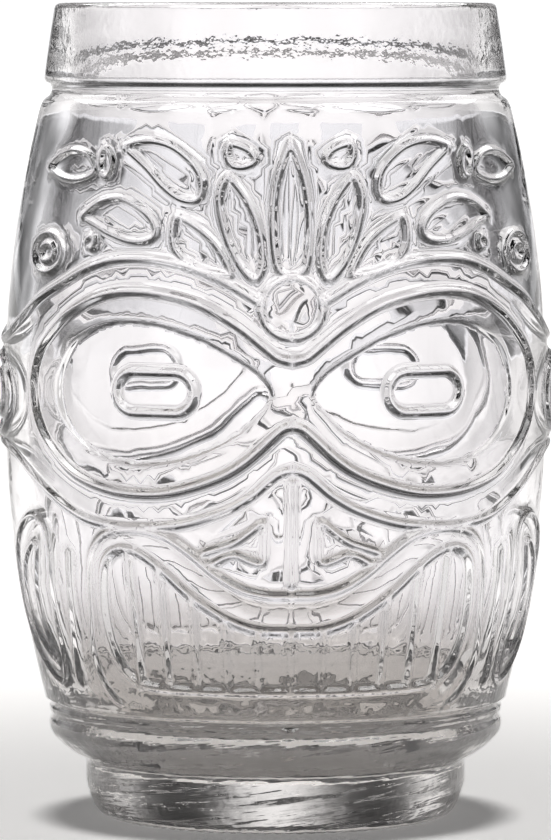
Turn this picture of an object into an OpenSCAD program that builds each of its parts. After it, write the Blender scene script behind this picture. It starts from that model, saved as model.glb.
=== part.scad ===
// Clear moulded glass tumbler with a carved-mask face on its front and back.
// The glass is one casting: each module below is one moulded feature of it, kept as its own solid.
// Origin on the table under the tumbler's axis, +Z up, the front face looks along -Y. Millimetres.

/* [Foot] */
// Height of the foot under the waist band
foot_h = 9.1; // [6:0.1:13]
// Radius of the foot's straight side
foot_r = 29.7; // [24:0.1:33]
// Radius of the rounding between the foot's side and the bearing face
foot_round = 4.7; // [2:0.1:5.5]
// Radius of the hollow in the underside
punt_r = 20; // [10:0.5:22]
// Depth of the hollow in the underside
punt_depth = 1.6; // [0.5:0.1:3]

/* [Waist band] */
// Height of the waist band
waist_h = 8.9; // [7:0.1:12]
// Radius of the waist band at its top edge
waist_r = 35.5; // [32:0.1:38]
// Radius of the rounding that runs down to the foot
waist_round = 6.4; // [4:0.1:6.8]

/* [Barrel] */
// Height of the barrel between the waist band and the neck
barrel_h = 93.2; // [75:0.5:115]
// Radius of the barrel at its widest, without the relief
barrel_r = 42.3; // [39:0.1:52]
// Height of the widest level above the waist band
widest_h = 48; // [38:0.5:60]
// Radius of the rounded shoulder between the barrel and the neck
shoulder_round = 1.7; // [0.8:0.1:2.5]

/* [Neck and rim] */
// Height of the plain neck groove under the rim band
neck_h = 3.6; // [2.5:0.1:6]
// Radius of the neck
neck_r = 34.9; // [34:0.1:36]
// Height of the rim band
rim_h = 12.2; // [8:0.1:18]
// Radius of the rim band at its lower edge
rim_low_r = 36; // [35:0.1:38]
// Radius of the rim band at the lip
lip_r = 34.3; // [33.5:0.1:36]
// Thickness of the lip
lip_t = 1.9; // [1.4:0.1:2.6]

/* [Hollow] */
// Thickness of the glass floor, above the table
floor_z = 13; // [11:0.5:16]
// Radius of the corner between the floor and the wall
well_round = 9; // [5:0.5:12]
// Wall thickness at the widest level
wall_t = 3.2; // [2.4:0.1:5]
// Wall thickness at the neck
neck_wall_t = 3.3; // [2.4:0.1:4]

/* [Relief] */
// Width of a relief ridge at its foot
ridge_w = 1.3; // [0.9:0.05:1.5]
// Height of a relief ridge above the barrel
ridge_h = 0.6; // [0.4:0.05:0.9]
// Height of the raised pads above the barrel
pad_h = 0.7; // [0.4:0.05:1]
// Number of tooth ridges on each side of the middle one
teeth_half = 5; // [4:1:5]
// Distance between teeth ridges on the drawing
tooth_pitch = 5.3; // [4.5:0.1:5.4]
// Height of the cheek petals, from their foot to their tip
petal_tall = 26; // [18:0.5:28]

/* [Hidden] */
$fn = 96;
sheet_w = 132;          // width of the face drawing: it covers half the girth
sheet_h = 93.2;         // height of the face drawing: it covers the barrel
sink = 0.25;            // how far a relief solid is let into the wall
arc_fn = 720;           // facets of the long barrel arcs
leaf_w = 0.65 * ridge_w; // the leaf, nose and rosette ridges are finer
tooth_w = 0.75 * ridge_w;
tooth_gap = 1;          // clear space between a tooth ridge and the mouth's edge
seam_w = 0.9;
seam_h = 0.15;
ear_at = [sheet_w / 2, 48.4];
ear_size = [11, 6];
boss_size = [5.4, 3.4];
petal_foot = 4.5;       // level of the petals' foot on the face drawing
petal_low = [41.6, 2.3];    // place of the first side line and the step to the next, at the foot
petal_mid = [40.8, 4.8];    // the same half way up
petal_top = [39.5, 3.6];    // the same at the tip
petal_shape = [[0.05, 0.7], [0.2, 1], [0.4, 1], [0.6, 1], [0.8, 1], [0.94, 0.7]]; // t and share of the width
petal_inset = 3.5;      // height between an outer petal's ends and those of the petal inside it
pupil_at = [21.2, 50.6];
pupil_size = [6.6, 3.1];
jewel_at = [0, 63.4];
jewel_r = 4.4;
jewel_h = 1.1;
rosette_at = [45, 71.8];
rosette_size = [4.1, 2.7];
tick_w = 1.2;
tick_h = 0.4;
tick_tall = 3.4;
tick_sink = 0.6;
tick_drop = 1.2;        // from the waist band's top edge down to the tick
waist_z = foot_h;
barrel_z = waist_z + waist_h;
neck_z = barrel_z + barrel_h;
rim_z = neck_z + neck_h;
height = rim_z + rim_h;
mid_z = barrel_z + widest_h;
function arc_radius(run, rise) = (run * run + rise * rise) / (2 * rise);
shoulder_r = neck_r + shoulder_round;
punt_arc = arc_radius(punt_r, punt_depth);
outer_arc = arc_radius(barrel_h - widest_h, barrel_r - shoulder_r);
hollow_r = barrel_r - wall_t;
hollow_neck_r = neck_r - neck_wall_t;
inner_arc = arc_radius(barrel_h - widest_h, hollow_r - hollow_neck_r);
lip_in_r = lip_r - lip_t;
big = 4 * barrel_r;

// ---- The face drawing: millimetres on a flat sheet, u to the right, v up from the waist band ----
brow_line = [[4.7, 64.3], [9, 66.3], [16, 69.3], [24, 70.5], [32, 69.3], [40, 66.6], [50, 62], [58, 58],
    [65.3, 56]];
cheek_line = [[0, 39.4], [3, 38.5], [8, 34.4], [13, 31.7], [20, 30.3], [28, 30.2], [35, 31.3], [42, 34.1],
    [50, 37.8], [58, 40.2], [65.3, 40.8]];
ring_line = [[0, 55.5], [3, 57], [8, 61.1], [15, 64.7], [24, 65.9], [33, 64.2], [40, 60], [44.8, 54],
    [44.8, 47.2], [40, 40.8], [33, 36.9], [24, 35.5], [16, 36.4], [9, 39.5], [3, 44.6], [0, 46]];
eye_line = [[1.6, 50.1], [4.6, 52.6], [9, 56], [14, 58.7], [20, 60.4], [26, 60.8], [32, 59.5], [36.4, 56],
    [38.7, 51], [37.4, 45.6], [33.5, 42], [28, 40.4], [22, 40], [16, 41], [10, 43.7], [5.6, 46.7],
    [2.4, 48.8]];
lip_half = [[0, 19.6], [4, 19.7], [8, 20.9], [12, 23.5], [16, 27], [20, 28.8], [25, 29.4], [30, 28.8],
    [33.6, 26.6], [35.6, 22], [36.4, 16], [36.2, 10], [34.6, 4.8], [32.2, 2], [29, 0.9]];
mouth_half = [[0, 14.5], [5, 14.7], [10, 16.3], [15, 19.3], [20, 23.2], [24, 26], [27.4, 26.9], [30.4, 25.2],
    [32, 21], [32.2, 15], [31.4, 10.6], [28.6, 6.6], [25, 5.4], [12, 5.1], [0, 5]];
nose_fold = [[1.8, 37.4], [5, 34.4], [9, 31.7], [13, 30], [18, 28.9]];
nostril = [[4.6, 30.8], [9, 28.2], [13.4, 26], [11, 25], [8.2, 26], [4.8, 24.9]];
nose_wing = [[1.9, 25.2], [4, 23.6], [7, 23.8], [10, 23.2], [12, 22]];
centre_leaf = [[0, 88.9], [2, 85.8], [3, 80], [3.1, 74], [2.4, 69.3], [0, 68.7], [-2.4, 69.3], [-3.1, 74],
    [-3, 80], [-2, 85.8]];
tall_leaf = [[9.8, 82.6], [10.8, 79.5], [10.3, 75.5], [8.7, 71.4], [6.2, 68.3], [4.9, 71], [5.1, 75.5],
    [6.8, 79.8]];
top_leaf = [[10, 88.3], [10.4, 85.8], [7.6, 83.8], [4.9, 85.2], [6.8, 87.4]];
low_leaf = [[17.4, 75.8], [17.4, 72.8], [15.8, 70.8], [9.6, 68.6], [11.3, 72.4], [14.3, 75.6]];
wing_leaf = [[29.8, 87.4], [26, 85.2], [22.6, 82.2], [19, 79.6], [15.4, 79], [13.9, 80.9], [14.9, 83.8],
    [18, 86.7], [22, 88.3], [26, 88.5]];
lower_leaf = [[36.8, 76.3], [33, 75.2], [29, 73.3], [25.4, 72.7], [22, 73.7], [21.9, 75.7], [24, 78.2],
    [28.5, 80], [33, 78.8]];
far_leaf = [[49, 84.4], [44, 82.2], [39, 81.7], [35.4, 82.5], [35.2, 84.6], [38, 87.2], [42, 88.6],
    [46, 87.4]];
bud_leaf = [[33.6, 86.6], [34, 83.6], [32.2, 81.8], [31.2, 84.4]];
small_bud = [[38.4, 73.6], [37, 71.4], [34.8, 71.2], [35.4, 73.4]];

// The mouth's upper edge as level over distance from the middle, and its lower edge.
mouth_top = [for (q = mouth_half) if (q[0] < 30 && q[1] > 13) q];
mouth_low = 5.1;

// ---- From the sheet to the barrel ----
function barrel_at(z) = barrel_r - outer_arc + sqrt(outer_arc * outer_arc - pow(z - mid_z, 2));
function level(v) = barrel_z + v * barrel_h / sheet_h;
function on_barrel(u, v, h) =
    let (z = level(v), a = u * 180 / sheet_w, r = barrel_at(z) + h)
    [r * sin(a), -r * cos(a), z];

// ---- Curves on the sheet ----
// A smooth curve through hand-set points, with n steps between each two.
function spline_point(a, b, c, d, t) =
    0.5 * (2 * b + (c - a) * t + (2 * a - 5 * b + 4 * c - d) * t * t + (3 * b - 3 * c + d - a) * t * t * t);
function smooth_open(p, n) = let (last = len(p) - 1)
    [for (i = [0:last - 1], k = [0:n - 1])
        spline_point(p[max(i - 1, 0)], p[i], p[i + 1], p[min(i + 2, last)], k / n), p[last]];
function smooth_loop(p, n) = let (m = len(p))
    [for (i = [0:m - 1], k = [0:n - 1])
        spline_point(p[(i + m - 1) % m], p[i], p[(i + 1) % m], p[(i + 2) % m], k / n)];
function flip(p) = [for (q = p) [-q[0], q[1]]];
function backwards(p) = [for (i = [len(p) - 1:-1:0]) p[i]];
// The right half and its mirror image as one curve, through or closed over the middle line.
function both_halves(p) = concat(backwards([for (i = [1:len(p) - 1]) flip(p)[i]]), p);
function closed_halves(p) = concat(p, backwards([for (i = [1:len(p) - 2]) flip(p)[i]]));
function middle(p) = [for (q = p) 1] * p / len(p);
function oval(c, rx, rv, n) = [for (i = [0:n - 1]) c + [rx * cos(i * 360 / n), rv * sin(i * 360 / n)]];
function stadium(c, rx, rv, n) = [for (i = [0:n - 1]) let (a = (i + 0.5) * 360 / n)
    c + [sign(cos(a)) * (rx - rv) + rv * cos(a), rv * sin(a)]];

// ---- Solids on the barrel ----
function unit(v) = v / norm(v);
function side_of(p, i, loop) = let (m = len(p),
        a = loop ? p[(i + m - 1) % m] : p[max(i - 1, 0)], b = loop ? p[(i + 1) % m] : p[min(i + 1, m - 1)],
        d = unit(b - a))
    [-d[1], d[0]];
// Cross-section of a ridge: distance to the side and height.
function ridge_section(w, h) = [[-w / 2, -sink], [0, h], [w / 2, -sink]];

module ridge(p, loop = false, w = ridge_w, h = ridge_h) {
    s = ridge_section(w, h);
    m = len(p);
    k = len(s);
    points = [for (i = [0:m - 1], q = s)
        let (c = p[i] + q[0] * side_of(p, i, loop)) on_barrel(c[0], c[1], q[1])];
    spans = loop ? m : m - 1;
    walls = [for (i = [0:spans - 1], j = [0:k - 1])
        let (j2 = (j + 1) % k, here = i * k, next = ((i + 1) % m) * k)
        each [[here + j, here + j2, next + j2], [here + j, next + j2, next + j]]];
    caps = loop ? [] : [[for (j = [k - 1:-1:0]) j], [for (j = [0:k - 1]) (m - 1) * k + j]];
    polyhedron(points, concat(walls, caps), convexity = 10);
}

// A raised pad with the given outline, crowned at its middle and let into the wall.
// The outline runs anticlockwise, seen from outside the glass.
module pad(outline, h = pad_h) {
    m = len(outline);
    centre = middle(outline);
    points = concat([for (q = outline) on_barrel(q[0], q[1], -sink)],
        [for (q = outline) let (c = centre + 0.8 * (q - centre)) on_barrel(c[0], c[1], 0.75 * h)],
        [on_barrel(centre[0], centre[1], h), on_barrel(centre[0], centre[1], -sink)]);
    faces = [for (i = [0:m - 1]) let (j = (i + 1) % m)
        each [[i, m + j, j], [i, m + i, m + j], [m + i, 2 * m, m + j], [i, j, 2 * m + 1]]];
    polyhedron(points, faces, convexity = 4);
}

module on_both_sides() {
    children();
    mirror([1, 0, 0]) children();
}
module face_side(back) {
    rotate([0, 0, back ? 180 : 0]) children();
}

// ---- The turned body of the glass ----
// The corner of the well meets the hollow's arc at this radius.
function well_edge() = hollow_r - inner_arc
    + sqrt(inner_arc * inner_arc - pow(floor_z + well_round - mid_z, 2));

module outer_outline() {
    intersection() {
        translate([barrel_r - outer_arc, mid_z]) circle(outer_arc, $fn = arc_fn);
        translate([0, barrel_z]) square([big, barrel_h]);
    }
}

module hollow_outline() {
    intersection() {
        translate([hollow_r - inner_arc, mid_z]) circle(inner_arc, $fn = arc_fn);
        translate([0, floor_z]) square([big, neck_z - floor_z]);
        union() {
            translate([0, floor_z + well_round]) square([big, big]);
            square([well_edge() - well_round, big]);
            translate([well_edge() - well_round, floor_z + well_round]) circle(well_round);
        }
    }
}

module foot() {
    color("white") rotate_extrude() difference() {
        union() {
            translate([0, foot_round]) square([foot_r, foot_h - foot_round]);
            square([foot_r - foot_round, foot_h]);
            intersection() {
                translate([foot_r - foot_round, foot_round]) circle(foot_round);
                square([big, foot_h]);
            }
        }
        intersection() {
            translate([0, punt_depth - punt_arc]) circle(punt_arc, $fn = arc_fn);
            square([punt_r, punt_depth]);
        }
    }
}

module waist_band() {
    color("gainsboro") rotate_extrude() difference() {
        union() {
            translate([0, waist_z + waist_round]) square([waist_r, waist_h - waist_round]);
            translate([0, waist_z]) square([waist_r - waist_round, waist_h]);
            intersection() {
                translate([waist_r - waist_round, waist_z + waist_round]) circle(waist_round);
                translate([0, waist_z]) square([big, waist_h]);
            }
        }
        hollow_outline();
    }
}

module barrel_wall() {
    color("whitesmoke") rotate_extrude() difference() {
        outer_outline();
        hollow_outline();
    }
}

module neck_ring() {
    color("gainsboro") rotate_extrude() {
        translate([hollow_neck_r, neck_z]) square([neck_wall_t, neck_h]);
        intersection() {
            translate([neck_r, neck_z]) circle(shoulder_round);
            translate([hollow_neck_r, neck_z]) square([neck_wall_t + shoulder_round, shoulder_round]);
        }
    }
}

module rim_band() {
    color("white") rotate_extrude() {
        polygon([[hollow_neck_r, rim_z], [rim_low_r, rim_z], [lip_r, height - lip_t / 2],
            [lip_in_r, height - lip_t / 2]]);
        translate([lip_r - lip_t / 2, height - lip_t / 2]) circle(lip_t / 2);
    }
}

// ---- What runs round the sides ----
module mould_seams() {
    color("white") on_both_sides()
        ridge([for (i = [0:20]) [sheet_w / 2, 1 + i * (sheet_h - 2) / 20]], w = seam_w, h = seam_h);
}

module ears() {
    color("gainsboro") on_both_sides() {
        ridge(oval(ear_at, ear_size[0], ear_size[1], 36), loop = true);
        pad(oval(ear_at, boss_size[0], boss_size[1], 24));
    }
}

// The sides of the cheek petals belong to one family of upright lines, counted by k from the mouth.
// t runs from 0 at the foot to 1 at the tip.
function petal_line(k, t) =
    (petal_low[0] + petal_low[1] * k) * (2 * t - 1) * (t - 1)
    + (petal_mid[0] + petal_mid[1] * k) * 4 * t * (1 - t)
    + (petal_top[0] + petal_top[1] * k) * t * (2 * t - 1);
// One side of a petal, drawn in towards its middle at both ends.
function petal_side(k, across, foot, tall) =
    [for (q = petal_shape)
        let (c = petal_line(k + across / 2, q[0]))
        [c + (petal_line(k, q[0]) - c) * q[1], foot + tall * q[0]]];
function petal(first, last, foot, tall) = let (middle_k = (first + last) / 2)
    concat([[petal_line(middle_k, 0), foot]], petal_side(last, first - last, foot, tall),
        [[petal_line(middle_k, 1), foot + tall]], backwards(petal_side(first, last - first, foot, tall)));

module cheek_petals() {
    color("whitesmoke") on_both_sides() {
        ridge([for (t = [0.05:0.1:0.85]) [petal_line(0, t), petal_foot + petal_tall * t]], w = leaf_w);
        ridge(smooth_loop(petal(1, 4, petal_foot, petal_tall), 2), loop = true, w = leaf_w);
        ridge(smooth_loop(petal(2, 3, petal_foot + petal_inset, petal_tall - 2 * petal_inset), 2),
            loop = true, w = leaf_w);
    }
}

// ---- What each face carries ----
module mask_brow() {
    color("white") on_both_sides() ridge(smooth_open(brow_line, 4));
}

module mask_cheek() {
    color("white") ridge(both_halves(smooth_open(cheek_line, 3)));
}

module eye_frame() {
    color("gainsboro") ridge(closed_halves(smooth_open(ring_line, 3)), loop = true);
}

module eye_rims() {
    color("whitesmoke") on_both_sides() ridge(smooth_loop(eye_line, 3), loop = true);
}

module pupils() {
    color("gainsboro") on_both_sides()
        ridge(stadium(pupil_at, pupil_size[0], pupil_size[1], 28), loop = true);
}

module jewel() {
    color("white") pad(oval(jewel_at, jewel_r, jewel_r, 28), jewel_h);
}

module crown_leaves() {
    color("whitesmoke") {
        ridge(smooth_loop(centre_leaf, 2), loop = true, w = leaf_w);
        on_both_sides() for (leaf = [tall_leaf, low_leaf])
            ridge(smooth_loop(leaf, 2), loop = true, w = leaf_w);
    }
}

module side_leaves() {
    color("gainsboro") on_both_sides()
        for (leaf = [top_leaf, wing_leaf, lower_leaf, far_leaf, bud_leaf, small_bud])
            ridge(smooth_loop(leaf, 2), loop = true, w = leaf_w);
}

module rosettes() {
    color("white") on_both_sides() {
        ridge(oval(rosette_at, rosette_size[0], rosette_size[1], 24), loop = true, w = leaf_w);
        pad(oval(rosette_at, rosette_size[0] / 2, rosette_size[1] / 2, 16));
    }
}

module nose() {
    color("gainsboro") {
        ridge([for (v = [21.5:2.5:36.5]) [0, v]], w = leaf_w);
        on_both_sides() {
            ridge(smooth_open(nose_fold, 3), w = leaf_w);
            ridge(smooth_loop(nostril, 2), loop = true, w = leaf_w);
            ridge(smooth_open(nose_wing, 3), w = leaf_w);
        }
    }
}

module lip_line() {
    color("white") ridge(both_halves(smooth_open(lip_half, 3)));
}

module mouth_edge() {
    color("whitesmoke") ridge(closed_halves(smooth_open(mouth_half, 3)), loop = true);
}

// Each tooth ridge stands in the mouth and stops short of its edge above and below.
module teeth() {
    color("white") for (i = [-teeth_half:teeth_half]) let (u = i * tooth_pitch,
            low = mouth_low + tooth_gap, high = lookup(abs(u), mouth_top) - tooth_gap)
        ridge([for (k = [0:4]) [u, low + (high - low) * k / 4]], w = tooth_w);
}

module chin_tick() {
    color("white") intersection() {
        translate([-tick_w / 2, -waist_r - tick_h, barrel_z - tick_drop - tick_tall])
            cube([tick_w, tick_h + tick_sink, tick_tall]);
        cylinder(h = big, r = waist_r + tick_h);
    }
}

foot();
waist_band();
barrel_wall();
neck_ring();
rim_band();
mould_seams();
ears();
face_side(false) cheek_petals();  // cheek_petals_front
face_side(true) cheek_petals();  // cheek_petals_back
face_side(false) mask_brow();  // front_mask_brow
face_side(false) mask_cheek();  // front_mask_cheek
face_side(false) eye_frame();  // front_eye_frame
face_side(false) eye_rims();  // front_eye_rims
face_side(false) pupils();  // front_pupils
face_side(false) jewel();  // front_jewel
face_side(false) crown_leaves();  // front_crown_leaves
face_side(false) side_leaves();  // front_side_leaves
face_side(false) rosettes();  // front_rosettes
face_side(false) nose();  // front_nose
face_side(false) lip_line();  // front_lip_line
face_side(false) mouth_edge();  // front_mouth_edge
face_side(false) teeth();  // front_teeth
face_side(false) chin_tick();  // front_chin_tick
face_side(true) mask_brow();  // back_mask_brow
face_side(true) mask_cheek();  // back_mask_cheek
face_side(true) eye_frame();  // back_eye_frame
face_side(true) eye_rims();  // back_eye_rims
face_side(true) pupils();  // back_pupils
face_side(true) jewel();  // back_jewel
face_side(true) crown_leaves();  // back_crown_leaves
face_side(true) side_leaves();  // back_side_leaves
face_side(true) rosettes();  // back_rosettes
face_side(true) nose();  // back_nose
face_side(true) lip_line();  // back_lip_line
face_side(true) mouth_edge();  // back_mouth_edge
face_side(true) teeth();  // back_teeth
face_side(true) chin_tick();  // back_chin_tick
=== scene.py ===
# %% [markdown]
# # A moulded glass tumbler with a carved-mask face
# The real tumbler is one casting of clear soda glass. A gob of hot glass is blown out against an
# iron mould, so the outside takes every carved line of the mould and the inside stays smooth.
# The CAD model gives the size and the place of each region. This script shapes the one skin of glass
# that the eye sees, and lights it the way a studio lights glass, in front of something bright.

# %% Load the frame
import math

import bmesh
import bpy
import numpy as np
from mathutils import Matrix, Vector, geometry, kdtree


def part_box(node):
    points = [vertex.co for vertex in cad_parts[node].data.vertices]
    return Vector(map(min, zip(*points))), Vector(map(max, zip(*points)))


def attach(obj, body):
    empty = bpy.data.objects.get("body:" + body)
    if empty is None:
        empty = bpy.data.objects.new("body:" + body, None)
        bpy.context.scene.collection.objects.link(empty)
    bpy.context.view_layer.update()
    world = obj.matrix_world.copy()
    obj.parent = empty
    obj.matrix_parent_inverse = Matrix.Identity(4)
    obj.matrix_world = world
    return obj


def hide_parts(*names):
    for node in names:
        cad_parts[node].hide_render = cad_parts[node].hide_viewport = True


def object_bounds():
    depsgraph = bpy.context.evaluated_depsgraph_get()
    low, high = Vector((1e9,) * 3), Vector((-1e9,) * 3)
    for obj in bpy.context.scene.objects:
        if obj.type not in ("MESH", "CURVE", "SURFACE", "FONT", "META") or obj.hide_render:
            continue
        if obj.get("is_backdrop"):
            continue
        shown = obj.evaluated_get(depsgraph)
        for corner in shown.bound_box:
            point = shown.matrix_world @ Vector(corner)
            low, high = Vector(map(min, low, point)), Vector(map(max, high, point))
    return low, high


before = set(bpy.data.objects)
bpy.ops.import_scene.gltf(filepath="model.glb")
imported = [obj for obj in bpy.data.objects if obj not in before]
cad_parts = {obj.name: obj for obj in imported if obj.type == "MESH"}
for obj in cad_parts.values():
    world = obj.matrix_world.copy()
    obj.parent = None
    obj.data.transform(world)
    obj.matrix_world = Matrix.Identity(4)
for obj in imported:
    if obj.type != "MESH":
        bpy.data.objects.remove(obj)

CAD_BOX = [list(corner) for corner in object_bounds()]
MM = 0.001
print("CAD box in mm:", [[round(c / MM, 1) for c in corner] for corner in CAD_BOX])

# %% [markdown]
# ## Sizes from the frame
# The barrel's side is the form that everything else hangs on. Its ends and its two radii come from the
# boxes of the CAD nodes. The face lines and the small turned outlines further down are drawn in
# millimetres in the same frame.

# %% Read the barrel's sizes, in millimetres
def low_z(node):
    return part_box(node)[0][2] / MM


def high_z(node):
    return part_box(node)[1][2] / MM


def radius_of(node):
    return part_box(node)[1][0] / MM


BARREL_LOW = low_z("barrel_wall")
BARREL_HIGH = high_z("barrel_wall")
BARREL_R = radius_of("barrel_wall")
SHOULDER_R = radius_of("neck_ring")
MID_Z = 66.0                 # the barrel's widest level
QUARTER = 66.0               # sheet width from the face's middle line to the mould seam
print("barrel", BARREL_LOW, "to", BARREL_HIGH, "radius", BARREL_R, "shoulder radius", SHOULDER_R)


def bulge(z, widest, shoulder):
    """The radius of one arc that is widest at MID_Z and meets the shoulder's radius at BARREL_HIGH."""
    run, rise = BARREL_HIGH - MID_Z, widest - shoulder
    arc = (run * run + rise * rise) / (2 * rise)
    return widest - arc + np.sqrt(arc * arc - (np.asarray(z) - MID_Z) ** 2)


def barrel_radius(z):
    return bulge(z, BARREL_R, SHOULDER_R)


def on_wall(u, z, out=0.0):
    """The place in metres of a point of the sheet: u to the right, z up, out from the wall."""
    angle = np.asarray(u) * (math.pi / 2 / QUARTER)
    r = barrel_radius(z) + out
    return np.stack([r * np.sin(angle), -r * np.cos(angle), np.asarray(z, float) + 0 * r], -1) * MM


# %% [markdown]
# ## The face as drawn by the mould maker
# A mould maker draws the face flat and cuts its lines into the iron. Each line below is a few points
# that a smooth curve runs through, on the right half of the sheet: the left half is its mirror image,
# and the back of the glass repeats the front. u is the distance from the middle line and z the height.

# %% The lines of the face
BROW = [(4.6, 82.1), (10, 85.2), (15, 87.2), (20, 88.3), (25, 88.6), (30, 88.2), (35, 86.7), (40, 84.5),
        (46, 82), (52, 78.8), (58, 76.3), (66, 74.8)]
CHEEK = [(0, 57.2), (2, 56.6), (4, 55), (6, 53.3), (10, 51), (16, 49), (22, 48.2), (28, 48.1),
         (34, 48.9), (38, 50.3), (42, 52.1), (46, 54.1), (50, 56), (54, 57.6), (60, 58.6), (66, 59)]
GOGGLE = [(0, 73.5), (2, 74), (4, 75.6), (8, 78.8), (13, 81.6), (18, 83.1), (24, 83.75), (30, 83.1),
          (36, 80.7), (40, 78), (44, 74), (45.7, 69), (44.8, 64.6), (42.5, 61), (38, 57.2), (34, 55.1),
          (28, 53.6), (22, 53.3), (17, 54), (11, 56), (7, 58.4), (3, 62.1), (1.4, 63.5), (0, 63.9)]
EYE = [(3.2, 68.2), (5, 71.2), (8, 73.3), (11, 75), (14, 76.5), (20, 78.3), (26, 78.8), (31, 77.9),
       (36, 75.3), (38.5, 71.6), (39.2, 68), (38, 64.3), (34.6, 60.9), (30, 58.7), (24, 57.8),
       (18, 58.4), (13, 60), (8, 62.7), (5.4, 65.2)]
LIP = [(0, 38), (4, 38.1), (8, 39.1), (12, 41.4), (16, 44.6), (20, 47), (25, 47.8), (30, 47.1),
       (33.4, 44.4), (34.9, 40), (35.5, 34), (36.2, 28.5), (35.4, 24.6), (33.2, 21.5), (30, 19.4),
       (26, 18.2)]
MOUTH = [(0, 32.5), (5, 32.7), (9, 33.8), (13, 35.8), (17, 38.6), (21, 42), (25, 44.3), (28.4, 44.5),
         (31, 42.4), (32, 38), (32.1, 33), (31.2, 28.6), (29.2, 25.4), (26.5, 23.9), (22, 23.3),
         (10, 23.1), (0, 23.1)]
NOSTRIL = [(4.3, 49.2), (6.2, 47.9), (9, 46), (14, 44.2), (12.6, 42.8), (10.2, 43.9), (8.4, 44.2),
           (6.6, 43.4), (4.4, 43), (4.1, 46)]
NOSE_RIDGE = [(0, 55.4), (0, 50), (0, 44), (0, 39.6)]
PUPIL = ((21.2, 68.6), 6.5, 3.1)      # middle, half length and half height of the slot
JEWEL = ((0.0, 81.5), 4.6)
BUD = ((45.0, 89.0), 4.5, 3.0)
LEAVES = {
    "middle": [(0, 106.6), (1.5, 104.2), (2.8, 100.2), (3.3, 96), (3.2, 91.5), (2.6, 87.8), (1.4, 86.7),
               (0, 86.5)],
    "second": [(10.2, 101.6), (11.7, 99.4), (11.8, 96.6), (10.7, 92.4), (9, 88.6), (6.6, 85.6),
               (5, 85.3), (3.9, 88.2), (4.4, 93), (6.3, 97.4), (8.6, 100.4)],
    "third": [(18.6, 95.4), (19.3, 92.6), (18.6, 89.7), (16, 87.5), (12, 86.1), (8.9, 86), (9.6, 88.6),
              (12, 91.9), (15.5, 94.4)],
    "wing": [(29.9, 105.3), (27.6, 103.8), (24.5, 101.8), (21.4, 99.2), (18.3, 97.3), (15.2, 96.9),
             (13.8, 98.6), (14.4, 101.6), (16.6, 104), (20, 106), (24, 106.8), (27.6, 106.4)],
    "low": [(37.2, 94.5), (34, 93.2), (30, 91.7), (26, 90.7), (22.6, 91), (21.2, 92.5), (22.2, 94.8),
            (25, 96.8), (29, 98.1), (33, 97.5), (35.6, 96)],
    "back_petal": [(10.2, 106.4), (11, 104.6), (10, 102.4), (7.6, 102), (5.2, 103.2), (6.6, 105.4)],
    "far": [(48.6, 101.9), (45, 100.3), (41, 99.6), (37, 99.9), (34.4, 101.2), (35.4, 103.2),
            (38, 104.7), (42, 105), (46, 103.9)],
    "back_bud": [(33.6, 105.6), (34.7, 103.6), (34, 101), (32, 100.2), (30.9, 102.2), (31.6, 104.4)],
    "curl": [(33, 89.8), (34.8, 89.5), (35.8, 90.8), (34.8, 92.2), (33.2, 91.8)],
}
UPPER_MOUTH = 9              # the mouth's first points are its upper line
TOOTH_FOOT = 23.4
TOOTH_PITCH = 5.3
TEETH_A_SIDE = 5
EAR = ((66.0, 66.4), 11.0, 6.2)
EAR_BOSS = ((66.0, 66.4), 5.4, 3.5)
PETAL_LOW = (41.6, 2.3)      # the first side line of the cheek petals and the step to the next: at the foot,
PETAL_MID = (40.8, 4.8)      # half way up
PETAL_TOP = (39.5, 3.6)      # and at the tip
PETALS = {"outer": (1, 4, 22.5, 48.5), "inner": (2, 3, 26.0, 44.5)}     # side lines, foot and tip
PETAL_WIDTHS = [(0.05, 0.7), (0.2, 1.0), (0.4, 1.0), (0.6, 1.0), (0.8, 1.0), (0.94, 0.7)]   # along, across
print(len(LEAVES), "leaf outlines on each half of a face")


# %% [markdown]
# ## Curves from a few points
# A Catmull-Rom curve passes through all its points and needs no handles, which suits a drawn line. Each curve
# is then stepped at an even distance, so that later cells can lay points beside it and measure along it.

# %% A smooth, evenly stepped curve
STEP = 0.5


def smooth_curve(points, step, closed=False):
    p = np.array(points, float)
    if closed:
        p = np.vstack([p[-1], p, p[0], p[1]])
    else:
        p = np.vstack([2 * p[0] - p[1], p, 2 * p[-1] - p[-2]])
    t = np.linspace(0, 1, 24, endpoint=False)[:, None]
    parts = []
    for a, b, c, d in zip(p, p[1:], p[2:], p[3:]):
        parts.append(0.5 * (2 * b + (c - a) * t + (2 * a - 5 * b + 4 * c - d) * t ** 2
                            + (3 * b - 3 * c + d - a) * t ** 3))
    dense = np.vstack(parts + [p[-2][None]])
    length = np.concatenate([[0], np.cumsum(np.linalg.norm(np.diff(dense, axis=0), axis=1))])
    count = max(2, int(round(length[-1] / step)) + 1)
    at = np.linspace(0, length[-1], count)
    return np.stack([np.interp(at, length, dense[:, i]) for i in (0, 1)], -1)


def oval(middle, half_length, half_height):
    """A slot with round ends, or an ellipse when it is short."""
    straight = max(half_length - half_height, 0)
    turn = np.linspace(0, 2 * math.pi, 48, endpoint=False)
    if straight < half_height:
        ring = np.stack([half_length * np.cos(turn), half_height * np.sin(turn)], -1)
    else:
        ring = np.stack([np.sign(np.cos(turn + 1e-6)) * straight + half_height * np.cos(turn),
                         half_height * np.sin(turn)], -1)
    return smooth_curve(ring + middle, STEP, closed=True)


def teeth_lines():
    top = smooth_curve(MOUTH[:UPPER_MOUTH], 0.2)
    for i in range(TEETH_A_SIDE + 1):
        u = i * TOOTH_PITCH
        high = np.interp(u, top[:, 0], top[:, 1])
        yield smooth_curve([(u, TOOTH_FOOT), (u, (TOOTH_FOOT + high) / 2), (u, high)], STEP)


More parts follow.
